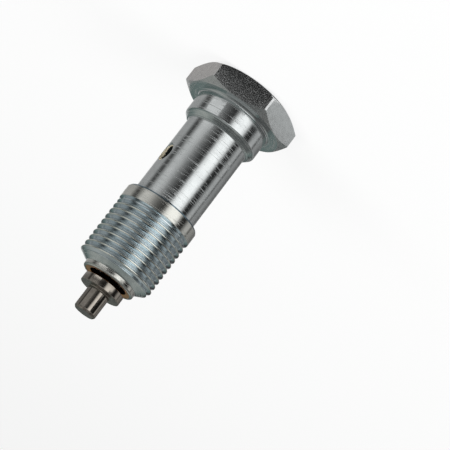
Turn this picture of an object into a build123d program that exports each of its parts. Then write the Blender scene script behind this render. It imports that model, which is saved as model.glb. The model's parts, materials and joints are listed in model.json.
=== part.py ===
"""Banjo bolt, G 3/8, with a sprung plunger valve in its tip.

The hollow bolt clamps a banjo eye between its head and a threaded port.  Oil enters through
the cross drilling and fills the gallery.  At the tip it is held back by a rubber ring, which
the plunger's valve flange closes from inside.  Pressing the pin in opens the valve.

Frame: millimetres, +Z from the head to the tip, origin at the centre of the head's outer
face.  The cross drilling and one pair of wrench flats face along X.
"""
from build123d import *
from math import cos, radians, tan
import os

# Head
across_flats = 22.0
head_height = 5.4
head_face_dia = 20.8             # flat part of the outer face
head_face_chamfer_angle = 30.0   # degrees from the face
bearing_face_dia = 21.8          # flat part of the bearing face
bearing_face_chamfer_angle = 35.0
corner_cut = 0.125               # taken off each corner of the hexagon, on the radius

# Collar that centres the banjo eye
collar_dia = 16.85
collar_length = 5.75             # bearing face to the end of its chamfer
collar_shoulder = 0.475          # flat left between the end chamfer and the shank, on the radius
root_cone = 0.3                  # 45 degree root under the head, and from collar to shank

# Shank, and the drilling across it
shank_dia = 14.0
shank_length = 18.9
cross_hole_dia = 4.0
cross_hole_offset = 9.5          # along the axis, from the end of the collar
cross_hole_chamfer = 0.2

# Land, thread and tip
land_dia = 16.7
land_width = 2.95
land_chamfer = 0.25
thread_crest_dia = 16.57         # G 3/8, left as its crest cylinder
thread_length = 12.9             # with the run-out groove that parts it from the land
thread_flank_angle = 27.5        # degrees from square to the axis
runout_depth = 0.65
runout_floor = 0.3
tip_chamfer_angle = 30.0         # degrees from the end face

# Nose, whose thin lip is rolled over the rings inside it
nose_dia = 11.8
nose_length = 1.17
lip_wall = 0.45
lip_roll_radius = 0.4
lip_overhang = 0.15              # how far the rolled edge reaches over the retaining ring
lip_thickness = 0.15             # of the rolled edge, along the axis

# Bores
chamber_dia = 9.8
chamber_length = 12.0
gallery_dia = 6.0
gallery_beyond_cross_hole = 3.0  # full bore, from the cross drilling's axis to the drill point
drill_point_angle = 118.0

# Rings held in the nose
retaining_ring_bore = 8.5
retaining_ring_thickness = 1.2
seal_bore = 6.0
seal_thickness = 1.5

# Plunger
stop_gap = 1.0                   # retaining ring to stop collar, with the plunger out
stop_collar_dia = 9.04
stop_collar_width = 1.75
stop_collar_chamfer = 0.15
pin_dia = 4.9
pin_length = 5.1
pin_chamfer = 0.3
neck_dia = 4.2
valve_flange_dia = 8.2
valve_flange_width = 1.2
valve_flange_chamfer = 0.2
valve_clearance = 0.03           # flange to rubber ring, plunger out
tail_dia = 4.6
tail_length = 5.5
tail_chamfer = 0.4

# Return spring
spring_outer_dia = 8.2
wire_dia = 0.8
wire_sides = 6                   # the round wire is drawn as a prism
spring_coils = 4.5
spring_end_clearance = 0.03      # between each ground end and its seat


# Heights along the axis, each worked out from the piece below it
bearing_z = head_height
collar_end_z = bearing_z + collar_length
land_z = collar_end_z + shank_length
thread_z = land_z + land_width
runout_width = runout_floor + 2 * runout_depth * tan(radians(thread_flank_angle))
tip_chamfer_z = thread_z + thread_length
nose_z = tip_chamfer_z + (thread_crest_dia - nose_dia) / 2 * tan(radians(tip_chamfer_angle))
nose_end_z = nose_z + nose_length
cross_hole_z = collar_end_z + cross_hole_offset

ring_face_z = nose_end_z - lip_thickness
seal_face_z = ring_face_z - retaining_ring_thickness
ring_seat_z = seal_face_z - seal_thickness
chamber_floor_z = ring_seat_z - chamber_length
gallery_end_z = cross_hole_z - gallery_beyond_cross_hole
drill_point_length = gallery_dia / 2 / tan(radians(drill_point_angle / 2))

stop_collar_z = ring_face_z + stop_gap
pin_z = stop_collar_z + stop_collar_width
pin_end_z = pin_z + pin_length
valve_face_z = ring_seat_z - valve_clearance
valve_back_z = valve_face_z - valve_flange_width
tail_end_z = valve_back_z - tail_length

ring_outer_dia = nose_dia - 2 * lip_wall
lip_opening_dia = ring_outer_dia - 2 * lip_overhang


def turned(outline):
    """Solid of revolution about Z, from (radius, height) points in order round its section."""
    with BuildPart() as piece:
        with BuildSketch(Plane.XZ):
            with BuildLine():
                Polyline(*outline, close=True)
            make_face()
        revolve(axis=Axis.Z)
    return piece.part


def rims(part, diameter, height):
    """Circular edges of one diameter at one height on the axis."""
    circles = part.edges().filter_by(GeomType.CIRCLE)
    at_height = circles.filter_by_position(Axis.Z, height - 0.001, height + 0.001)
    return at_height.filter_by(lambda edge: abs(2 * edge.radius - diameter) < 0.001)


def hexagon_head():
    """Hexagon prism cut back by a turned blank that chamfers both faces and its corners."""
    corner_radius = across_flats / 2 / cos(radians(30)) - corner_cut
    face_slope = tan(radians(head_face_chamfer_angle))
    bearing_slope = tan(radians(bearing_face_chamfer_angle))
    face_drop = (corner_radius - head_face_dia / 2) * face_slope
    bearing_drop = (corner_radius - bearing_face_dia / 2) * bearing_slope
    blank = turned([
        (0, 0),
        (head_face_dia / 2, 0),
        (corner_radius, face_drop),
        (corner_radius, bearing_z - bearing_drop),
        (bearing_face_dia / 2, bearing_z),
        (0, bearing_z),
    ])
    hexagon = RegularPolygon(across_flats / 2, 6, major_radius=False, rotation=30)
    return extrude(hexagon, head_height) & blank


def stem():
    """Everything turned beyond the head: collar, shank, land, thread blank and nose."""
    shank_radius = shank_dia / 2
    collar_end_radius = shank_radius + collar_shoulder
    collar_chamfer = collar_dia / 2 - collar_end_radius
    runout_radius = thread_crest_dia / 2 - runout_depth
    runout_middle_z = thread_z + runout_width / 2
    return turned([
        (0, 0),
        (collar_dia / 2 + root_cone, 0),
        (collar_dia / 2 + root_cone, bearing_z),
        (collar_dia / 2, bearing_z + root_cone),
        (collar_dia / 2, collar_end_z - collar_chamfer),
        (collar_end_radius, collar_end_z),
        (shank_radius + root_cone, collar_end_z),
        (shank_radius, collar_end_z + root_cone),
        (shank_radius, land_z),
        (land_dia / 2 - land_chamfer, land_z),
        (land_dia / 2, land_z + land_chamfer),
        (land_dia / 2, thread_z),
        (thread_crest_dia / 2, thread_z),
        (runout_radius, runout_middle_z - runout_floor / 2),
        (runout_radius, runout_middle_z + runout_floor / 2),
        (thread_crest_dia / 2, thread_z + runout_width),
        (thread_crest_dia / 2, tip_chamfer_z),
        (nose_dia / 2, nose_z),
        (nose_dia / 2, nose_end_z),
        (0, nose_end_z),
    ])


def bores():
    """Stepped bore drilled from the tip: lip opening, ring seat, chamber and blind gallery."""
    return turned([
        (0, gallery_end_z - drill_point_length),
        (gallery_dia / 2, gallery_end_z),
        (gallery_dia / 2, chamber_floor_z),
        (chamber_dia / 2, chamber_floor_z),
        (chamber_dia / 2, ring_seat_z),
        (ring_outer_dia / 2, ring_seat_z),
        (ring_outer_dia / 2, ring_face_z),
        (lip_opening_dia / 2, ring_face_z),
        (lip_opening_dia / 2, nose_end_z),
        (0, nose_end_z),
    ])


def make_bolt_body():
    body = hexagon_head() + stem()
    body = fillet(rims(body, nose_dia, nose_end_z), lip_roll_radius)
    drilling = Pos(0, 0, cross_hole_z) * Rot(0, 90, 0) * Cylinder(cross_hole_dia / 2, shank_dia)
    body -= drilling
    mouths = body.edges().filter_by_position(
        Axis.Z, cross_hole_z - cross_hole_dia / 2, cross_hole_z + cross_hole_dia / 2)
    body = chamfer(mouths.filter_by(GeomType.BSPLINE), cross_hole_chamfer)
    return body - bores()


def make_retaining_ring():
    return turned([
        (retaining_ring_bore / 2, seal_face_z),
        (ring_outer_dia / 2, seal_face_z),
        (ring_outer_dia / 2, ring_face_z),
        (retaining_ring_bore / 2, ring_face_z),
    ])


def make_seal_ring():
    return turned([
        (seal_bore / 2, ring_seat_z),
        (ring_outer_dia / 2, ring_seat_z),
        (ring_outer_dia / 2, seal_face_z),
        (seal_bore / 2, seal_face_z),
    ])


def make_plunger():
    return turned([
        (0, tail_end_z),
        (tail_dia / 2 - tail_chamfer, tail_end_z),
        (tail_dia / 2, tail_end_z + tail_chamfer),
        (tail_dia / 2, valve_back_z),
        (valve_flange_dia / 2, valve_back_z),
        (valve_flange_dia / 2, valve_face_z - valve_flange_chamfer),
        (valve_flange_dia / 2 - valve_flange_chamfer, valve_face_z),
        (neck_dia / 2, valve_face_z),
        (neck_dia / 2, stop_collar_z),
        (stop_collar_dia / 2 - stop_collar_chamfer, stop_collar_z),
        (stop_collar_dia / 2, stop_collar_z + stop_collar_chamfer),
        (stop_collar_dia / 2, pin_z - stop_collar_chamfer),
        (stop_collar_dia / 2 - stop_collar_chamfer, pin_z),
        (pin_dia / 2, pin_z),
        (pin_dia / 2, pin_end_z - pin_chamfer),
        (pin_dia / 2 - pin_chamfer, pin_end_z),
        (0, pin_end_z),
    ])


def make_return_spring():
    """Coil of wire whose first and last turns are ground flat on their seats."""
    coil_radius = (spring_outer_dia - wire_dia) / 2
    low_z = chamber_floor_z + spring_end_clearance
    high_z = valve_back_z - spring_end_clearance
    free_height = high_z - low_z
    path = Helix(free_height / spring_coils, free_height, coil_radius, center=(0, 0, low_z))
    wire_section = Plane(origin=path @ 0, z_dir=path % 0) * RegularPolygon(wire_dia / 2, wire_sides)
    coil = sweep(wire_section, path, is_frenet=True)
    slab = Pos(0, 0, (low_z + high_z) / 2) * Cylinder(spring_outer_dia, free_height)
    return coil & slab


pieces = {
    "bolt_body": make_bolt_body(),
    "retaining_ring": make_retaining_ring(),
    "seal_ring": make_seal_ring(),
    "plunger": make_plunger(),
    "return_spring": make_return_spring(),
}

os.makedirs("parts", exist_ok=True)
for name, piece in pieces.items():
    export_step(piece, f"parts/{name}.step")
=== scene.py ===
"""Looks of the banjo bolt: a zinc plated G 3/8 bolt with a sprung plunger valve in its tip.

Lengths are in millimetres until a mesh is finished, and angles in degrees.  A bearing is an
angle about the bolt's axis, clockwise seen from the tip, with 0 towards the camera.
"""
import json
from math import atan2, cos, hypot, pi, radians, sin, sqrt, tan

import bmesh
import bpy
from mathutils import Matrix, Vector


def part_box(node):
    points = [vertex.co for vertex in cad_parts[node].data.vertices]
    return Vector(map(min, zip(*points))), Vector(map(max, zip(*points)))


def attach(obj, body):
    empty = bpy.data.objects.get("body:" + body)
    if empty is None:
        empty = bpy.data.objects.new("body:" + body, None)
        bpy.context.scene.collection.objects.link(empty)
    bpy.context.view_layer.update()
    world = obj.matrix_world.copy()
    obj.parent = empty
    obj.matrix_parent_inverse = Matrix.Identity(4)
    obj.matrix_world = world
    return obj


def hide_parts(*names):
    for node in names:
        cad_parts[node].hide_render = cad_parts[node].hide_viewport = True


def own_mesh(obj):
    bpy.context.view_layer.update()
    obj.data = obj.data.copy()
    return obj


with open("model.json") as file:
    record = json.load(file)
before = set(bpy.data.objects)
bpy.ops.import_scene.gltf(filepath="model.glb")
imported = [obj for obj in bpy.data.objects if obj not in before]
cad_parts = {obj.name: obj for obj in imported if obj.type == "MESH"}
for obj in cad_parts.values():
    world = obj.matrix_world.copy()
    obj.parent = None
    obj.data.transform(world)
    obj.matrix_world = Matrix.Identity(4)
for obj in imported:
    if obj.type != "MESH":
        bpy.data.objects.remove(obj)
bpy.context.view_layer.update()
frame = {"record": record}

MM = 0.001

# Sizes that the frame gives
mounts = {mount["name"]: mount for mount in frame["record"]["mounts"]}


def mount_height(name):
    """Height of a mount's point on the axis."""
    return mounts[name]["pos_m"][2] / MM


def mount_span(name):
    """Lowest and highest end of a round mount's wall."""
    half = mounts[name]["dims"]["length_mm"] / 2
    return mount_height(name) - half, mount_height(name) + half


def node_span(node):
    """Lowest and highest point of a CAD node."""
    low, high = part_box(node)
    return low.z / MM, high.z / MM


def node_radius(node):
    """Outer radius of a round CAD node."""
    low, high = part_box(node)
    return (high.x - low.x) / 2 / MM


flat_distance = mounts["wrench_flat_right"]["pos_m"][0] / MM
bearing_z = mount_height("bearing_face")
collar_radius = mounts["eye_collar"]["dims"]["r_mm"]
collar_chamfer_z = mount_span("eye_collar")[1]
land_radius = mounts["eye_land"]["dims"]["r_mm"]
land_full_z, thread_z = mount_span("eye_land")
crest_radius = mounts["thread"]["dims"]["r_mm"]
first_crest_z, tip_chamfer_z = mount_span("thread")
cross_hole_radius = mounts["cross_port"]["dims"]["r_mm"]
cross_hole_z = mount_height("cross_port")
nose_end_z = node_span("bolt_body")[1]
seal_seat_z, seal_face_z = node_span("seal_ring")
ring_face_z = node_span("retaining_ring")[1]
ring_radius = node_radius("retaining_ring")
valve_tail_z, pin_end_z = node_span("plunger")
stop_collar_radius = node_radius("plunger")
pin_radius = mounts["pin_tip"]["dims"]["r_mm"]
pin_z, pin_chamfer_z = mount_span("pin_tip")
spring_low_z, spring_high_z = node_span("return_spring")

# Head
head_corner_radius = 12.577      # the corners are turned back a little
head_face_radius = 10.4
head_face_slope = 30.0
head_face_round = 0.3
bearing_face_radius = 10.9
bearing_face_slope = 35.0
bearing_face_round = 0.2
worn_edge = 0.07                 # bevel round each milled flat

# Collar and shank
collar_root_fillet = 0.45
collar_round = 0.7
collar_shoulder = 0.475          # flat and round between the collar's chamfer and the shank
collar_end_round = 0.3
shoulder_fillet = 0.3
shank_radius = 7.0
cross_hole_flare = 0.3
collar_end_radius = shank_radius + collar_shoulder
collar_end_z = collar_chamfer_z + collar_radius - collar_end_radius

# Land and the run-out beside it
land_root_fillet = 0.1
land_chamfer_drop = 0.25         # from the land's full wall down to its end
land_chamfer_width = 0.2
land_chamfer_length = 0.35
land_chamfer_round = 0.05
land_end_round = 0.03
land_z = land_full_z - land_chamfer_drop
runout_radius = 7.635
runout_round = 0.08

# Tip, and the nose whose lip is rolled over the rings
tip_cone_slope = 30.0
nose_root_fillet = 0.1
nose_radius = 5.9
lip_roll_radius = 0.4
lip_opening_radius = 5.3
lip_edge_round = 0.05

# Bores
chamber_radius = 4.9
spring_end_clearance = 0.03      # between the spring and the chamber's floor
chamber_floor_z = spring_low_z - spring_end_clearance
gallery_radius = 3.0
gallery_end_z = 17.65
drill_point_z = 15.85

# Whitworth thread of G 3/8
thread_pitch = 1.3368
thread_depth = 0.640327 * thread_pitch
thread_round = 0.137329 * thread_pitch
thread_flank = 27.5
thread_crest_angle = 21.5        # from +X, where a crest stands at thread_crest_z
thread_crest_z = 33.82
crest_flat_angle = 19.0          # of each crest's round, cut off by the crest cylinder
fade_turns = 0.25                # over which the groove runs in to its full depth
fade_lift = thread_depth * 0.4
tool_overrun = 1.0               # how far a cutting tool goes on past the metal

# Rings
retaining_ring_bore_radius = 4.25
retaining_ring_round = 0.12
seal_bore_radius = 3.0
seal_round = 0.2

# Plunger
tail_radius = 2.3
tail_length = 5.5
tail_round = 0.4
valve_flange_radius = 4.1
valve_flange_width = 1.2
valve_back_round = 0.05
valve_face_round = 0.2
neck_radius = 2.1
neck_root_fillet = 0.1
stop_collar_width = 1.75
stop_collar_round = 0.15
pin_root_fillet = 0.12
pin_shoulder_drop = 0.1          # the pin's rounded shoulder starts below its chamfer
pin_shoulder_round = 0.3
pin_end_round = 0.12

# Return spring
wire_radius = 0.4
spring_coils = 4.5


# ---------------------------------------------------------------------------------------------
# Shaping
# ---------------------------------------------------------------------------------------------

sharp_angle = 22.0               # an edge that turns by more is shaded sharp


def rounded(corners, steps=6):
    """Outline through (radius, height) corners; a third number rounds that corner."""
    outline = []
    for before, corner, after in zip(corners[-1:] + corners, corners, corners[1:] + corners[:1]):
        here = Vector(corner[:2])
        if len(corner) == 2:
            outline.append(here)
            continue
        to_before = (Vector(before[:2]) - here).normalized()
        to_after = (Vector(after[:2]) - here).normalized()
        half_angle = to_before.angle(to_after) / 2
        centre = here + (to_before + to_after).normalized() * corner[2] / sin(half_angle)
        first = here + to_before * corner[2] / tan(half_angle) - centre
        last = here + to_after * corner[2] / tan(half_angle) - centre
        for step in range(steps + 1):
            outline.append(centre + first.slerp(last, step / steps) * corner[2])
    return outline


def turned(outline, segments):
    """Mesh spun about the axis from an outline, which is closed if it leaves the axis free."""
    bm = bmesh.new()
    verts = [bm.verts.new((point.x, 0, point.y)) for point in outline]
    pairs = list(zip(verts, verts[1:]))
    if outline[0].x > 0:
        pairs.append((verts[-1], verts[0]))
    edges = [bm.edges.new(pair) for pair in pairs]
    bmesh.ops.spin(bm, geom=verts + edges, cent=(0, 0, 0), axis=(0, 0, 1), dvec=(0, 0, 0),
                   angle=2 * pi, steps=segments, use_merge=True)
    bmesh.ops.remove_doubles(bm, verts=bm.verts, dist=1e-4)
    bmesh.ops.recalc_face_normals(bm, faces=bm.faces)
    return bm


def cut_plane(bm, point, outward):
    """Cuts off what lies outside a plane, and returns the edges of the cut."""
    made = bmesh.ops.bisect_plane(bm, geom=bm.verts[:] + bm.edges[:] + bm.faces[:], dist=1e-5,
                                  plane_co=point, plane_no=outward, clear_outer=True)
    return only_edges(made["geom_cut"])


def only_edges(geometry):
    return [item for item in geometry if isinstance(item, bmesh.types.BMEdge)]


def as_object(bm, name):
    """Object in the scene made from a bmesh, in the bmesh's own units."""
    mesh = bpy.data.meshes.new(name)
    bm.to_mesh(mesh)
    bm.free()
    piece = bpy.data.objects.new(name, mesh)
    bpy.context.scene.collection.objects.link(piece)
    return piece


def apply_modifiers(piece):
    """Gives the piece the mesh that its modifiers make, and drops them."""
    graph = bpy.context.evaluated_depsgraph_get()
    mesh = bpy.data.meshes.new_from_object(piece.evaluated_get(graph))
    piece.modifiers.clear()
    piece.data = mesh


def cut_away(piece, tool):
    """Takes the tool's volume out of the piece, and removes the tool."""
    cut = piece.modifiers.new("cut", "BOOLEAN")
    cut.operation = "DIFFERENCE"
    cut.solver = "EXACT"
    cut.object = tool
    apply_modifiers(piece)
    bpy.data.objects.remove(tool)


def shade(piece):
    """Sharpens the edges, and shades each wall true to its own form with the turn in the rounds."""
    bm = bmesh.new()
    bm.from_mesh(piece.data)
    for face in bm.faces:
        face.smooth = True
    for edge in bm.edges:
        edge.smooth = len(edge.link_faces) == 2 and edge.calc_face_angle() < radians(sharp_angle)
    bm.to_mesh(piece.data)
    bm.free()
    weighted = piece.modifiers.new("weighted", "WEIGHTED_NORMAL")
    weighted.keep_sharp = True
    apply_modifiers(piece)


def finish_piece(piece, body, node, materials, finish_of=None):
    """Shades the piece, scales it to metres, and gives it its finishes and its place.

    Where the piece has several finishes, finish_of picks one by a face's middle and normal.
    """
    shade(piece)
    piece.data.materials.clear()
    for material in materials:
        piece.data.materials.append(material)
    if finish_of:
        for face in piece.data.polygons:
            face.material_index = materials.index(finish_of(face.center, face.normal))
    piece.data.transform(Matrix.Scale(MM, 4))
    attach(piece, body)
    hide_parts(node)
    return piece


# ---------------------------------------------------------------------------------------------
# Finishes
# ---------------------------------------------------------------------------------------------

def link(source, target):
    """Joins an output to an input of the same node tree."""
    target.id_data.links.new(source, target)


def set_inputs(node, values):
    """Gives each input, by its name, a value or another node's output."""
    for name, value in values.items():
        if isinstance(value, bpy.types.NodeSocket):
            link(value, node.inputs[name])
        else:
            node.inputs[name].default_value = value


def new_material(name):
    """Material without a surface yet, its nodes, and the input that its surface goes to."""
    material = bpy.data.materials.new(name)
    material.use_nodes = True
    nodes = material.node_tree.nodes
    nodes.clear()
    return material, nodes, nodes.new("ShaderNodeOutputMaterial").inputs["Surface"]


def new_finish(name):
    """Material of a piece, its nodes and its shader."""
    material, nodes, surface = new_material(name)
    shader = nodes.new("ShaderNodeBsdfPrincipled")
    link(shader.outputs["BSDF"], surface)
    return material, nodes, shader


def maths(nodes, operation, *values):
    """Result of an operation on numbers or other nodes' outputs."""
    node = nodes.new("ShaderNodeMath")
    node.operation = operation
    set_inputs(node, dict(enumerate(values)))
    return node.outputs[0]


def plus(nodes, first, second):
    return maths(nodes, "ADD", first, second)


def times(nodes, first, second):
    return maths(nodes, "MULTIPLY", first, second)


def surface_place(nodes):
    """Place on the piece itself, in metres."""
    return nodes.new("ShaderNodeTexCoord").outputs["Object"]


def turned_place(nodes, place, around):
    """Radius, and a place that changes fast along a turned outline and slowly around it."""
    split = nodes.new("ShaderNodeSeparateXYZ")
    link(place, split.inputs[0])
    x, y, z = split.outputs
    radius = maths(nodes, "SQRT", plus(nodes, times(nodes, x, x), times(nodes, y, y)))
    along = nodes.new("ShaderNodeCombineXYZ")
    set_inputs(along, {
        "X": times(nodes, x, around),
        "Y": times(nodes, y, around),
        "Z": maths(nodes, "SUBTRACT", z, radius),
    })
    return radius, along.outputs[0]


def noise(nodes, place, scale, detail=2.0, roughness=0.5):
    """Cloudy pattern from 0 to 1, with scale in clouds per metre."""
    node = nodes.new("ShaderNodeTexNoise")
    set_inputs(node, {"Vector": place, "Scale": scale, "Detail": detail, "Roughness": roughness})
    return node.outputs["Fac"]


def carried_over(nodes, value, low, high, to_low, to_high):
    """Value taken from the range low to high over to the range to_low to to_high."""
    node = nodes.new("ShaderNodeMapRange")
    set_inputs(node, {"Value": value, "From Min": low, "From Max": high,
                      "To Min": to_low, "To Max": to_high})
    return node.outputs[0]


def ramp(nodes, value, stops):
    """Colour by a value; each stop is (value, colour)."""
    node = nodes.new("ShaderNodeValToRGB")
    elements = node.color_ramp.elements
    while len(elements) < len(stops):
        elements.new(0.5)
    for element, (position, colour) in zip(elements, stops):
        element.position = position
        element.color = (*colour, 1)
    link(value, node.inputs[0])
    return node.outputs[0]


def relief(nodes, height, strength, depth):
    """Normal of a surface that has this height pattern in it."""
    node = nodes.new("ShaderNodeBump")
    set_inputs(node, {"Height": height, "Strength": strength, "Distance": depth * MM})
    return node.outputs[0]


def turned_plate(name, light, dark, smooth, scuffed, mark_depth):
    """Bright zinc over a turned surface, streaked by fine marks that run round it."""
    material, nodes, shader = new_finish(name)
    place = surface_place(nodes)
    _, along = turned_place(nodes, place, around=0.04)
    streaks = noise(nodes, along, scale=4500, detail=3, roughness=0.65)
    clouds = noise(nodes, place, scale=500, detail=3)
    mottle = plus(nodes, times(nodes, streaks, 0.5), times(nodes, clouds, 0.5))
    patches = noise(nodes, along, scale=900)
    wear = plus(nodes, streaks, times(nodes, patches, 0.25))
    set_inputs(shader, {
        "Base Color": ramp(nodes, mottle, [(0.4, dark), (0.6, light)]),
        "Metallic": 1.0,
        "Roughness": carried_over(nodes, wear, 0.64, 0.84, smooth, scuffed),
        "Normal": relief(nodes, streaks, 0.5, mark_depth),
    })
    return material


def forged_plate(name, light, dark, smooth, scuffed, peel_depth):
    """Bright zinc over a cold formed surface, speckled by orange peel."""
    material, nodes, shader = new_finish(name)
    place = surface_place(nodes)
    mottle = noise(nodes, place, scale=900, detail=4)
    peel = noise(nodes, place, scale=5200)
    set_inputs(shader, {
        "Base Color": ramp(nodes, mottle, [(0.3, dark), (0.7, light)]),
        "Metallic": 1.0,
        "Roughness": carried_over(nodes, peel, 0.56, 0.7, smooth, scuffed),
        "Normal": relief(nodes, peel, 1.0, peel_depth),
    })
    return material


def turned_metal(name, light, dark, roughness, mark_depth):
    """Turned metal without plate."""
    material, nodes, shader = new_finish(name)
    place = surface_place(nodes)
    _, along = turned_place(nodes, place, around=0.05)
    mottle = noise(nodes, place, scale=1200, detail=3)
    marks = noise(nodes, along, scale=5000)
    set_inputs(shader, {
        "Base Color": ramp(nodes, mottle, [(0.35, dark), (0.65, light)]),
        "Metallic": 1.0,
        "Roughness": roughness,
        "Normal": relief(nodes, marks, 0.5, mark_depth),
    })
    return material


def bore_with_painted_light_and_shade(name, painted_light_colour, painted_shade_colour, painted_light_radius, painted_light_ragged, painted_light_fade, mark_depth):
    """Drilled steel with painted light and shade: pale painted light out from a ragged radius, dark
    painted shade further in towards the axis.
    """
    material, nodes, shader = new_finish(name)
    place = surface_place(nodes)
    radius, along = turned_place(nodes, place, around=0.05)
    tatters = noise(nodes, place, scale=700)
    marks = noise(nodes, along, scale=5000)
    ragged_radius = plus(nodes, radius, times(nodes, tatters, painted_light_ragged * MM))
    fade_start = (painted_light_radius + (painted_light_ragged - painted_light_fade) / 2) * MM
    fade_end = (painted_light_radius + (painted_light_ragged + painted_light_fade) / 2) * MM
    painted_light_share = carried_over(nodes, ragged_radius, fade_start, fade_end, 0.0, 1.0)
    set_inputs(shader, {
        "Base Color": ramp(nodes, painted_light_share, [(0.0, painted_shade_colour), (1.0, painted_light_colour)]),
        "Metallic": 0.2,
        "Roughness": 0.5,
        "Normal": relief(nodes, marks, 0.5, mark_depth),
    })
    return material


def moulded_rubber(name, light, dark):
    """Dull rubber with the fine grain of its mould."""
    material, nodes, shader = new_finish(name)
    grain = noise(nodes, surface_place(nodes), scale=3000)
    set_inputs(shader, {
        "Base Color": ramp(nodes, grain, [(0.3, dark), (0.7, light)]),
        "Roughness": 0.6,
        "Normal": relief(nodes, grain, 0.3, 0.01),
    })
    return material


zinc_turned = turned_plate(
    "zinc_on_turned_steel", light=(0.76, 0.79, 0.79), dark=(0.68, 0.71, 0.71),
    smooth=0.12, scuffed=0.6, mark_depth=0.005)
zinc_faced = turned_plate(
    "zinc_on_faced_cones", light=(0.81, 0.86, 0.845), dark=(0.54, 0.60, 0.60),
    smooth=0.2, scuffed=0.5, mark_depth=0.012)
zinc_thread = turned_plate(
    "zinc_on_thread", light=(0.735, 0.80, 0.825), dark=(0.645, 0.725, 0.755),
    smooth=0.1, scuffed=0.2, mark_depth=0.0012)
# Pale painted highlight along the thread's crests
zinc_painted_highlight_crests = turned_plate(
    "zinc_crests_painted_highlight", light=(0.92, 0.94, 0.86), dark=(0.82, 0.83, 0.75),
    smooth=0.1, scuffed=0.25, mark_depth=0.001)
zinc_warm = turned_plate(
    "zinc_on_land_and_lip", light=(0.81, 0.81, 0.76), dark=(0.72, 0.72, 0.67),
    smooth=0.12, scuffed=0.6, mark_depth=0.005)
# Dark painted shade line on the land's chamfer
zinc_painted_shade_land_chamfer = turned_plate(
    "zinc_on_land_chamfer_painted_shade", light=(0.24, 0.33, 0.38), dark=(0.14, 0.20, 0.25),
    smooth=0.2, scuffed=0.5, mark_depth=0.002)
zinc_forged = forged_plate(
    "zinc_on_forged_head", light=(0.74, 0.75, 0.75), dark=(0.62, 0.63, 0.63),
    smooth=0.2, scuffed=0.6, peel_depth=0.068)
# Bore finish with painted light and shade: pale painted light near the cross hole's mouths, dark
# painted shade deeper in the bores
bore_painted_light_shade = bore_with_painted_light_and_shade(
    "drilled_bore_painted_light_and_shade", painted_light_colour=(0.98, 0.88, 0.68), painted_shade_colour=(0.010, 0.013, 0.012),
    painted_light_radius=6.4, painted_light_ragged=1.0, painted_light_fade=0.1, mark_depth=0.004)
turned_brass = turned_metal(
    "turned_brass", light=(1.0, 0.52, 0.20), dark=(0.86, 0.40, 0.14),
    roughness=0.3, mark_depth=0.002)
# Brass darkened as painted shade, for the ring's bore and underside
brass_painted_shade = turned_metal(
    "brass_painted_shade", light=(0.10, 0.06, 0.03), dark=(0.05, 0.03, 0.02),
    roughness=0.5, mark_depth=0.002)
ground_steel = turned_metal(
    "ground_steel", light=(0.49, 0.45, 0.395), dark=(0.40, 0.365, 0.32),
    roughness=0.07, mark_depth=0.0003)
faced_steel = turned_metal(
    "faced_steel", light=(0.54, 0.475, 0.42), dark=(0.24, 0.21, 0.185),
    roughness=0.3, mark_depth=0.01)
spring_steel = turned_metal(
    "drawn_spring_wire", light=(0.38, 0.38, 0.39), dark=(0.26, 0.26, 0.27),
    roughness=0.3, mark_depth=0.002)
black_rubber = moulded_rubber(
    "black_rubber", light=(0.03, 0.03, 0.03), dark=(0.012, 0.012, 0.012))


# ---------------------------------------------------------------------------------------------
# Bolt body
# ---------------------------------------------------------------------------------------------

# Where one finish ends and the next starts
wall_slack = 0.01                # how far the middle of a wall's facet may lie off the wall
mouth_depth = 0.05               # of the turned finish in the mouths of the cross hole
lip_edge_depth = 0.1             # of the lip's own finish inside its opening
shoulder_edge = 0.4              # beyond the shank, where the collar's chamfer starts
land_root_edge = 0.1             # beyond the shank, where the land's chamfer starts
land_end_edge = 0.02             # beyond either end of the land
cone_slack = 0.03                # how far under the tip's cone a face still belongs to it
crest_highlight_depth = 0.07                # depth below the crests that is painted pale as a highlight
facing_end = 0.3                 # least share along the axis of an end face's normal


def blank_outline():
    """Section of the turned blank, from the axis under the head round to the drill point."""
    face_drop = (head_corner_radius - head_face_radius) * tan(radians(head_face_slope))
    bearing_drop = (head_corner_radius - bearing_face_radius) * tan(radians(bearing_face_slope))
    flank_width = (crest_radius - runout_radius) * tan(radians(thread_flank))
    tip_cone_end_z = tip_chamfer_z + (crest_radius - nose_radius) * tan(radians(tip_cone_slope))
    return rounded([
        (0, 0),
        (head_face_radius, 0, head_face_round),
        (head_corner_radius, face_drop),
        (head_corner_radius, bearing_z - bearing_drop),
        (bearing_face_radius, bearing_z, bearing_face_round),
        (collar_radius, bearing_z, collar_root_fillet),
        (collar_radius, collar_chamfer_z, collar_round),
        (collar_end_radius, collar_end_z, collar_end_round),
        (shank_radius, collar_end_z, shoulder_fillet),
        (shank_radius, land_z, land_root_fillet),
        (land_radius - land_chamfer_width, land_z, land_chamfer_round),
        (land_radius, land_z + land_chamfer_length, land_chamfer_round),
        (land_radius, thread_z, land_end_round),
        (crest_radius, thread_z),
        (runout_radius, thread_z + flank_width, runout_round),
        (runout_radius, first_crest_z - flank_width, runout_round),
        (crest_radius, first_crest_z),
        (crest_radius, tip_chamfer_z),
        (nose_radius, tip_cone_end_z, nose_root_fillet),
        (nose_radius, nose_end_z, lip_roll_radius),
        (lip_opening_radius, nose_end_z, lip_edge_round),
        (lip_opening_radius, ring_face_z),
        (ring_radius, ring_face_z),
        (ring_radius, seal_seat_z),
        (chamber_radius, seal_seat_z),
        (chamber_radius, chamber_floor_z),
        (gallery_radius, chamber_floor_z),
        (gallery_radius, gallery_end_z),
        (0, drill_point_z),
    ])


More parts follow.
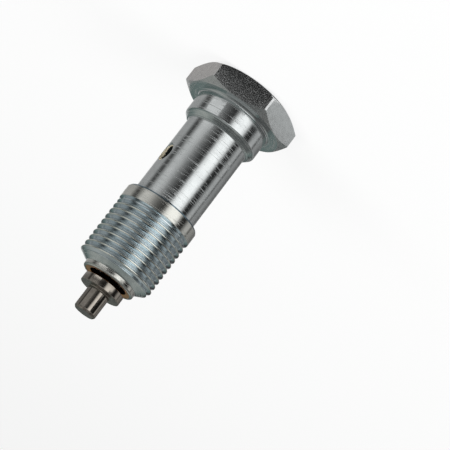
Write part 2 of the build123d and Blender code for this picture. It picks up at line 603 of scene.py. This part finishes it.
def mill_flats(bm):
    """Cuts the six flats of the head and softens their edges."""
    for side in range(6):
        outward = Vector((cos(radians(60 * side)), sin(radians(60 * side)), 0))
        rim = cut_plane(bm, outward * flat_distance, outward)
        bmesh.ops.contextual_create(bm, geom=rim)
    bmesh.ops.recalc_face_normals(bm, faces=bm.faces)
    most_corners_of_a_facet = 40
    flats = [face for face in bm.faces
             if len(face.verts) > most_corners_of_a_facet and abs(face.normal.z) < facing_end]
    rims = {edge for face in flats for edge in face.edges}
    bmesh.ops.bevel(bm, geom=list(rims), offset=worn_edge, offset_type="OFFSET", segments=2,
                    profile=0.5, affect="EDGES", clamp_overlap=True, material=-1)


def groove_outline():
    """Section of one Whitworth groove, as (distance along the axis, radius) about its middle."""
    root_steps = 4
    crest_steps = 5
    standing_out = 0.4
    crest_round_radius = crest_radius - thread_round * cos(radians(crest_flat_angle))
    root_round_radius = crest_round_radius + thread_round - thread_depth + thread_round
    steep = 90 - thread_flank
    past_crest = crest_flat_angle * 0.6
    side = []
    for step in range(root_steps + 1):
        angle = radians(steep * step / root_steps)
        side.append((thread_round * sin(angle), root_round_radius - thread_round * cos(angle)))
    for step in range(crest_steps + 1):
        angle = radians(steep + (past_crest - steep) * step / crest_steps)
        side.append((thread_pitch / 2 - thread_round * sin(angle),
                     crest_round_radius + thread_round * cos(angle)))
    side.append((side[-1][0], crest_radius + standing_out))
    return [(-along, radius) for along, radius in side[:0:-1]] + side


def thread_tool():
    """Helical solid that cuts the groove, right-handed, from the run-out to beyond the tip."""
    steps_per_turn = 128
    early_turns = 0.1
    runout_middle_z = (thread_z + first_crest_z) / 2
    groove_turns = thread_crest_angle / 360 - 0.5
    start_turns = (runout_middle_z - thread_crest_z) / thread_pitch + groove_turns - early_turns
    start_z = thread_crest_z + (start_turns - groove_turns) * thread_pitch
    steps = int((nose_end_z + tool_overrun - start_z) / thread_pitch * steps_per_turn)
    start = Matrix.Rotation(2 * pi * start_turns, 3, "Z")
    bm = bmesh.new()
    verts = [bm.verts.new(start @ Vector((radius, 0, start_z + along)))
             for along, radius in groove_outline()]
    edges = [bm.edges.new(pair) for pair in zip(verts, verts[1:] + verts[:1])]
    bm.faces.new(verts)
    wound = bmesh.ops.spin(bm, geom=verts + edges, cent=(0, 0, 0), axis=(0, 0, 1),
                           dvec=(0, 0, thread_pitch / steps_per_turn),
                           angle=2 * pi * steps / steps_per_turn, steps=steps, use_merge=False)
    bmesh.ops.contextual_create(bm, geom=only_edges(wound["geom_last"]))
    for vert in bm.verts:
        angle_turns = atan2(vert.co.y, vert.co.x) / (2 * pi) - start_turns
        helix_turns = (vert.co.z - start_z) / thread_pitch
        turn = angle_turns + round(helix_turns - angle_turns)
        if turn < fade_turns:
            lift = fade_lift * (1 - max(turn, 0) / fade_turns) ** 2
            radius = hypot(vert.co.x, vert.co.y)
            vert.co.x *= 1 + lift / radius
            vert.co.y *= 1 + lift / radius
    bmesh.ops.recalc_face_normals(bm, faces=bm.faces)
    return as_object(bm, "thread_tool")


def cross_hole_tool():
    """Drill for the cross hole, flared where it breaks out of the shank."""
    bare = sqrt(shank_radius ** 2 - cross_hole_radius ** 2)
    drill_end = shank_radius + tool_overrun
    flare = cross_hole_flare * (drill_end - bare) / (shank_radius - bare)
    bm = turned(rounded([
        (0, -drill_end),
        (cross_hole_radius + flare, -drill_end),
        (cross_hole_radius, -bare),
        (cross_hole_radius, bare),
        (cross_hole_radius + flare, drill_end),
        (0, drill_end),
    ]), segments=96)
    bmesh.ops.rotate(bm, cent=(0, 0, 0), matrix=Matrix.Rotation(pi / 2, 3, "Y"), verts=bm.verts)
    bmesh.ops.translate(bm, vec=(0, 0, cross_hole_z), verts=bm.verts)
    return as_object(bm, "cross_hole_tool")


def body_finish(centre, normal):
    """Finish of one face of the body."""
    radius = hypot(centre.x, centre.y)
    from_drill_axis = hypot(centre.y, centre.z - cross_hole_z)
    # The cross hole and the bores take the finish with painted light near the mouths and painted
    # shade deeper in
    if from_drill_axis < cross_hole_radius + wall_slack and radius < shank_radius - mouth_depth:
        return bore_painted_light_shade
    in_bore = drill_point_z - wall_slack < centre.z < nose_end_z - lip_edge_depth
    if in_bore and radius < lip_opening_radius + wall_slack:
        return bore_painted_light_shade
    if centre.z < bearing_z - wall_slack:
        return zinc_forged
    on_collar_chamfer = collar_chamfer_z < centre.z < collar_end_z + wall_slack
    if on_collar_chamfer and radius > shank_radius + shoulder_edge:
        return zinc_faced
    # The land's chamfer gets the dark painted shade line
    chamfer_end_z = land_z + land_chamfer_length - wall_slack
    on_land_chamfer = land_z - land_end_edge < centre.z < chamfer_end_z
    if on_land_chamfer and radius > shank_radius + land_root_edge:
        return zinc_painted_shade_land_chamfer
    if centre.z < land_full_z:
        return zinc_turned
    if centre.z < thread_z + land_end_edge:
        return zinc_warm
    tip_cone_radius = crest_radius - (centre.z - tip_chamfer_z) / tan(radians(tip_cone_slope))
    if radius > tip_cone_radius - cone_slack:
        on_cone = centre.z < nose_end_z - lip_roll_radius and normal.z > facing_end
        return zinc_faced if on_cone else zinc_warm
    # The crests are painted pale as a highlight
    if radius > crest_radius - crest_highlight_depth:
        return zinc_painted_highlight_crests
    return zinc_thread


def make_bolt_body():
    """Blank turned in one piece, with its flats milled, its thread cut and its cross hole drilled."""
    bm = turned(blank_outline(), segments=256)
    mill_flats(bm)
    body = as_object(bm, "plated_bolt_body")
    cut_away(body, thread_tool())
    cut_away(body, cross_hole_tool())
    return finish_piece(body, "bolt", "bolt_body",
                        [zinc_turned, zinc_forged, zinc_thread, bore_painted_light_shade, zinc_painted_highlight_crests, zinc_faced,
                         zinc_painted_shade_land_chamfer, zinc_warm],
                        body_finish)


# ---------------------------------------------------------------------------------------------
# Rings, plunger and spring
# ---------------------------------------------------------------------------------------------

def retaining_ring_finish(centre, normal):
    """Bright brass on the open face, brass darkened by painted shade in the bore and underneath."""
    inside = hypot(centre.x, centre.y) < ring_radius - wall_slack
    return brass_painted_shade if inside and normal.z < facing_end else turned_brass


def plunger_finish(centre, normal):
    """Faced steel on the ends of the plunger's steps, ground steel round them."""
    return faced_steel if abs(normal.z) > facing_end else ground_steel


def make_retaining_ring():
    bm = turned(rounded([
        (retaining_ring_bore_radius, seal_face_z),
        (ring_radius, seal_face_z),
        (ring_radius, ring_face_z),
        (retaining_ring_bore_radius, ring_face_z, retaining_ring_round),
    ], steps=4), segments=192)
    return finish_piece(as_object(bm, "brass_retaining_ring"), "bolt", "retaining_ring",
                        [turned_brass, brass_painted_shade], retaining_ring_finish)


def make_seal_ring():
    bm = turned(rounded([
        (seal_bore_radius, seal_seat_z, seal_round),
        (ring_radius, seal_seat_z),
        (ring_radius, seal_face_z),
        (seal_bore_radius, seal_face_z, seal_round),
    ], steps=4), segments=128)
    return finish_piece(as_object(bm, "rubber_seal_ring"), "bolt", "seal_ring",
                        [black_rubber])


def make_plunger():
    """Tail, valve flange, neck, stop collar and pin, turned in one piece."""
    valve_back_z = valve_tail_z + tail_length
    valve_face_z = valve_back_z + valve_flange_width
    stop_collar_z = pin_z - stop_collar_width
    pin_chamfer_length = pin_end_z - pin_chamfer_z
    bm = turned(rounded([
        (0, valve_tail_z),
        (tail_radius, valve_tail_z, tail_round),
        (tail_radius, valve_back_z),
        (valve_flange_radius, valve_back_z, valve_back_round),
        (valve_flange_radius, valve_face_z, valve_face_round),
        (neck_radius, valve_face_z, neck_root_fillet),
        (neck_radius, stop_collar_z, neck_root_fillet),
        (stop_collar_radius, stop_collar_z, stop_collar_round),
        (stop_collar_radius, pin_z, stop_collar_round),
        (pin_radius, pin_z, pin_root_fillet),
        (pin_radius, pin_chamfer_z - pin_shoulder_drop, pin_shoulder_round),
        (pin_radius - pin_chamfer_length, pin_end_z, pin_end_round),
        (0, pin_end_z),
    ], steps=4), segments=160)
    return finish_piece(as_object(bm, "ground_plunger"), "plunger", "plunger",
                        [ground_steel, faced_steel], plunger_finish)


def make_return_spring():
    """Round wire wound into a coil, with both ends ground flat."""
    height = spring_high_z - spring_low_z
    coil_radius = valve_flange_radius - wire_radius
    steps_per_turn = 64
    steps = int(spring_coils * steps_per_turn)
    bm = bmesh.new()
    wire = bmesh.ops.create_circle(bm, segments=16, radius=wire_radius)["verts"]
    bmesh.ops.rotate(bm, cent=(0, 0, 0), matrix=Matrix.Rotation(pi / 2, 3, "X"), verts=wire)
    bmesh.ops.translate(bm, vec=(coil_radius, 0, spring_low_z), verts=wire)
    bmesh.ops.spin(bm, geom=bm.verts[:] + bm.edges[:], cent=(0, 0, 0), axis=(0, 0, 1),
                   dvec=(0, 0, height / steps), angle=2 * pi * spring_coils, steps=steps,
                   use_merge=False)
    cut_plane(bm, (0, 0, spring_low_z), (0, 0, -1))
    cut_plane(bm, (0, 0, spring_high_z), (0, 0, 1))
    bmesh.ops.holes_fill(bm, edges=bm.edges, sides=0)
    bmesh.ops.recalc_face_normals(bm, faces=bm.faces)
    spring = finish_piece(as_object(bm, "wound_return_spring"), "bolt", "return_spring",
                          [spring_steel])
    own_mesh(spring)
    return spring


make_bolt_body()
make_retaining_ring()
make_seal_ring()
make_plunger()
make_return_spring()


# ---------------------------------------------------------------------------------------------
# Studio
# ---------------------------------------------------------------------------------------------

# Camera
view_azimuth = 21.5
view_elevation = 16.23
view_roll = -143.18              # lays the standing bolt on its side in the view
view_distance = 348.65
view_aim = Vector((-10.995, -4.343, 24.69))
focal_length = 139.36
sensor_width = 36.0

# Floor
floor_radius = 3000.0
floor_lift = 0.85                # share of pure white that the camera sees in it

# Rings of glowing screen round the bolt, each stop (bearing, brightness)
ring_near = 19.5
ring_far = 330.0
ring_wall = 55.0                 # height of the wall at the far edge
ring_clearance = 0.02
ring_step = 4.0
floor_glow = [
    (-180, 1.15), (-170, 0.85), (-160, 0.50), (-150, 0.36), (-110, 0.38), (-103, 0.25),
    (-96, 0.09), (-88, 0.06), (-80, 0.26), (-70, 0.54), (-58, 0.58), (-44, 0.45),
    (-32, 0.24), (-20, 0.12), (-8, 0.05), (1, 0.04), (7.5, 0.30), (13.5, 0.9), (24, 1.2),
    (41, 1.2), (50, 0.9), (57, 0.25), (62, 0.03), (75, 0.02), (82, 0.2), (89, 0.42),
    (100, 0.46), (105, 0.2), (109, 0.12), (114, 0.3), (124, 0.28), (140, 0.18),
    (150, 0.14), (160, 0.2), (170, 0.28), (180, 0.4),
]
wall_glow = [
    (-180, 0.9), (-160, 0.4), (-120, 0.34), (-100, 0.26), (-80, 0.3), (-60, 0.38),
    (-22, 0.28), (-8, 0.7), (3, 1.35), (30, 1.4), (44, 0.8), (58, 0.3), (110, 0.28),
    (130, 0.42), (148, 0.42), (158, 0.2), (180, 0.3),
]

# Cards beside the head: name, first and last bearing, brightness, tint
white = (1, 1, 1)
head_card_outer = head_corner_radius + ring_near
head_card_clearance = 0.01
head_cards = [
    ("front_head_card", -44, 21, 0.02, white),
    ("corner_head_card", 21, 36, 1.2, white),
    ("right_head_card", 36, 125, 0.52, (0.97, 1, 1)),
    ("left_head_card", -160, -44, 0.44, (1, 0.96, 0.94)),
]

# Cards out on the floor: name, first and last bearing, near and far edge, brightness
floor_card_clearance = 0.03
floor_cards = [
    ("near_left_card", -68, -30, 26.5, 42, 0.7),
    ("left_lip_card", -68, -28, 202, 222, 1.25),
    ("right_lip_card", 12, 46, 202, 224, 0.75),
    ("stop_collar_card", -76, -40, 226, 244, 0.1),
    ("stop_collar_flag", -40, 6, 226, 244, 0.01),
    ("far_grey_flag", -72, -30, 244, ring_far, 0.34),
    ("far_left_flag", -163, -100, 230, ring_far, 0.22),
    ("far_black_flag", 37, 84, 247, ring_far, 0.01),
]

# Cards overhead: name, first and last bearing, lowest and highest elevation, brightness
high_card_distance = 600.0
high_cards = [
    ("front_high_card", -55, 50, 18, 55, 0.3),
    ("front_top_flag", -80, 80, 60, 88, 0.09),
    ("right_high_flag", 60, 130, 10, 72, 0.11),
    ("low_back_flag", 140, 176, 6, 17, 0.05),
]

# Softboxes
softbox_distance = 700.0
softbox_width = 420.0
softbox_height = 300.0
softbox_radiance = 6.5
softbox_aim_z = 25.0

# Sky, each stop (sine of its elevation, colour)
sky_tones = [
    (0.0, (0.30, 0.32, 0.32)),
    (0.12, (0.105, 0.125, 0.123)),
    (0.20, (0.09, 0.105, 0.102)),
    (0.30, (0.115, 0.16, 0.155)),
    (0.52, (0.28, 0.295, 0.285)),
    (0.74, (0.38, 0.385, 0.37)),
    (0.90, (0.29, 0.30, 0.29)),
    (0.965, (0.21, 0.23, 0.225)),
]


def towards(bearing, elevation):
    """Unit vector from the bolt."""
    angle = radians(view_azimuth - 90 - bearing)
    level = cos(radians(elevation))
    return Vector((cos(angle) * level, sin(angle) * level, sin(radians(elevation))))


def up(height):
    return Vector((0, 0, height))


def make_camera():
    camera = bpy.data.objects.new("camera", bpy.data.cameras.new("camera"))
    bpy.context.scene.collection.objects.link(camera)
    back = towards(0, view_elevation)
    look = (-back).to_track_quat("-Z", "Y").to_matrix()
    roll = Matrix.Rotation(radians(view_roll), 3, "Z")
    camera.rotation_mode = "QUATERNION"
    camera.rotation_quaternion = (look @ roll).to_quaternion()
    camera.location = (view_aim + back * view_distance) * MM
    camera.data.lens = focal_length
    camera.data.sensor_width = sensor_width
    camera.data.clip_start = 0.01
    camera.data.clip_end = 20
    bpy.context.scene.camera = camera


def make_floor():
    """Pale floor that keeps the bolt's shadow and is lifted to white for the camera."""
    bm = bmesh.new()
    bmesh.ops.create_circle(bm, cap_ends=True, segments=96, radius=floor_radius)
    bmesh.ops.scale(bm, vec=(MM, MM, MM), verts=bm.verts)
    floor = as_object(bm, "floor")
    material, nodes, surface = new_material("white_floor")
    paint = nodes.new("ShaderNodeBsdfPrincipled")
    set_inputs(paint, {"Base Color": (0.92, 0.92, 0.92, 1), "Roughness": 0.9,
                       "Specular IOR Level": 0.0})
    lift = nodes.new("ShaderNodeEmission")
    seen = nodes.new("ShaderNodeLightPath").outputs["Is Camera Ray"]
    blend = nodes.new("ShaderNodeMixShader")
    link(times(nodes, seen, floor_lift), blend.inputs[0])
    link(paint.outputs[0], blend.inputs[1])
    link(lift.outputs[0], blend.inputs[2])
    link(blend.outputs[0], surface)
    floor.data.materials.append(material)


def make_card(name, rows, glow, tint=white):
    """Card that only shows in the metal, from rows of points and how bright each point is."""
    bm = bmesh.new()
    layer = bm.verts.layers.float.new("glow")
    lines = []
    for row, row_glow in zip(rows, glow):
        line = [bm.verts.new(point * MM) for point in row]
        for vert, brightness in zip(line, row_glow):
            vert[layer] = brightness
        lines.append(line)
    for left, right in zip(lines, lines[1:]):
        for low_left, high_left, low_right, high_right in zip(left, left[1:], right, right[1:]):
            bm.faces.new((low_left, high_left, high_right, low_right))
    card = as_object(bm, name)
    material, nodes, surface = new_material(name)
    reader = nodes.new("ShaderNodeAttribute")
    reader.attribute_name = "glow"
    glowing = nodes.new("ShaderNodeEmission")
    set_inputs(glowing, {"Color": (*tint, 1), "Strength": reader.outputs["Fac"]})
    link(glowing.outputs[0], surface)
    card.data.materials.append(material)
    card.visible_camera = False
    card.visible_diffuse = False
    card.visible_shadow = False
    card.visible_transmission = False


def make_studio_ring(name, stops, low_row, high_row):
    """Screen all round the bolt between two rows, each (distance from the shank, height).

    A round wall that faces a bearing mirrors what lies at twice that bearing.
    """
    rows = []
    glow = []
    for (start, from_glow), (end, to_glow) in zip(stops, stops[1:]):
        steps = max(1, round((end - start) / ring_step))
        for step in range(steps):
            bearing = start + (end - start) * step / steps
            mirror = towards(bearing / 2, 0) * shank_radius
            rows.append([mirror + towards(bearing, 0) * distance + up(height)
                         for distance, height in (low_row, high_row)])
            glow.append([from_glow + (to_glow - from_glow) * step / steps] * 2)
    make_card(name, rows, glow)


def make_floor_card(name, first_bearing, last_bearing, inner, outer, brightness, tint, clearance):
    """Card over the floor between two bearings and two distances from the axis."""
    steps = 8
    rows = []
    for step in range(steps + 1):
        away = towards(first_bearing + (last_bearing - first_bearing) * step / steps, 0)
        rows.append([away * inner + up(clearance), away * outer + up(clearance)])
    make_card(name, rows, [[brightness] * 2] * (steps + 1), tint)


def make_high_card(name, first_bearing, last_bearing, low, high, brightness):
    """Curved card above the floor, between two bearings and two elevations."""
    steps = 8
    rises = 4
    rows = []
    for step in range(steps + 1):
        bearing = first_bearing + (last_bearing - first_bearing) * step / steps
        rows.append([towards(bearing, low + (high - low) * rise / rises) * high_card_distance
                     for rise in range(rises + 1)])
    make_card(name, rows, [[brightness] * (rises + 1)] * (steps + 1))


def make_softbox(name, bearing, elevation):
    """Lamp for the floor and the dull pieces, which doesn't show in the metal."""
    light = bpy.data.lights.new(name, "AREA")
    light.shape = "RECTANGLE"
    light.size = softbox_width * MM
    light.size_y = softbox_height * MM
    light.energy = softbox_radiance * pi * softbox_width * softbox_height * MM * MM
    lamp = bpy.data.objects.new(name, light)
    bpy.context.scene.collection.objects.link(lamp)
    back = towards(bearing, elevation)
    lamp.location = (back * softbox_distance + up(softbox_aim_z)) * MM
    lamp.rotation_mode = "QUATERNION"
    lamp.rotation_quaternion = (-back).to_track_quat("-Z", "Y")
    lamp.visible_glossy = False


def make_sky():
    world = bpy.data.worlds.new("studio")
    bpy.context.scene.world = world
    world.use_nodes = True
    nodes = world.node_tree.nodes
    nodes.clear()
    direction = nodes.new("ShaderNodeSeparateXYZ")
    link(nodes.new("ShaderNodeTexCoord").outputs["Generated"], direction.inputs[0])
    background = nodes.new("ShaderNodeBackground")
    link(ramp(nodes, direction.outputs["Z"], sky_tones), background.inputs["Color"])
    output = nodes.new("ShaderNodeOutputWorld")
    link(background.outputs[0], output.inputs["Surface"])


make_camera()
make_floor()
make_sky()
make_studio_ring("floor_ring", floor_glow, (ring_near, ring_clearance), (ring_far, ring_clearance))
make_studio_ring("wall_ring", wall_glow, (ring_far, ring_clearance), (ring_far, ring_wall))
for name, first, last, brightness, tint in head_cards:
    make_floor_card(name, first, last, flat_distance, head_card_outer, brightness, tint,
                    head_card_clearance)
for name, first, last, inner, outer, brightness in floor_cards:
    make_floor_card(name, first, last, inner, outer, brightness, white, floor_card_clearance)
for name, first, last, low, high, brightness in high_cards:
    make_high_card(name, first, last, low, high, brightness)
make_softbox("left_softbox", bearing=-50, elevation=50)
make_softbox("right_softbox", bearing=60, elevation=45)

bpy.context.scene.view_settings.view_transform = "Standard"
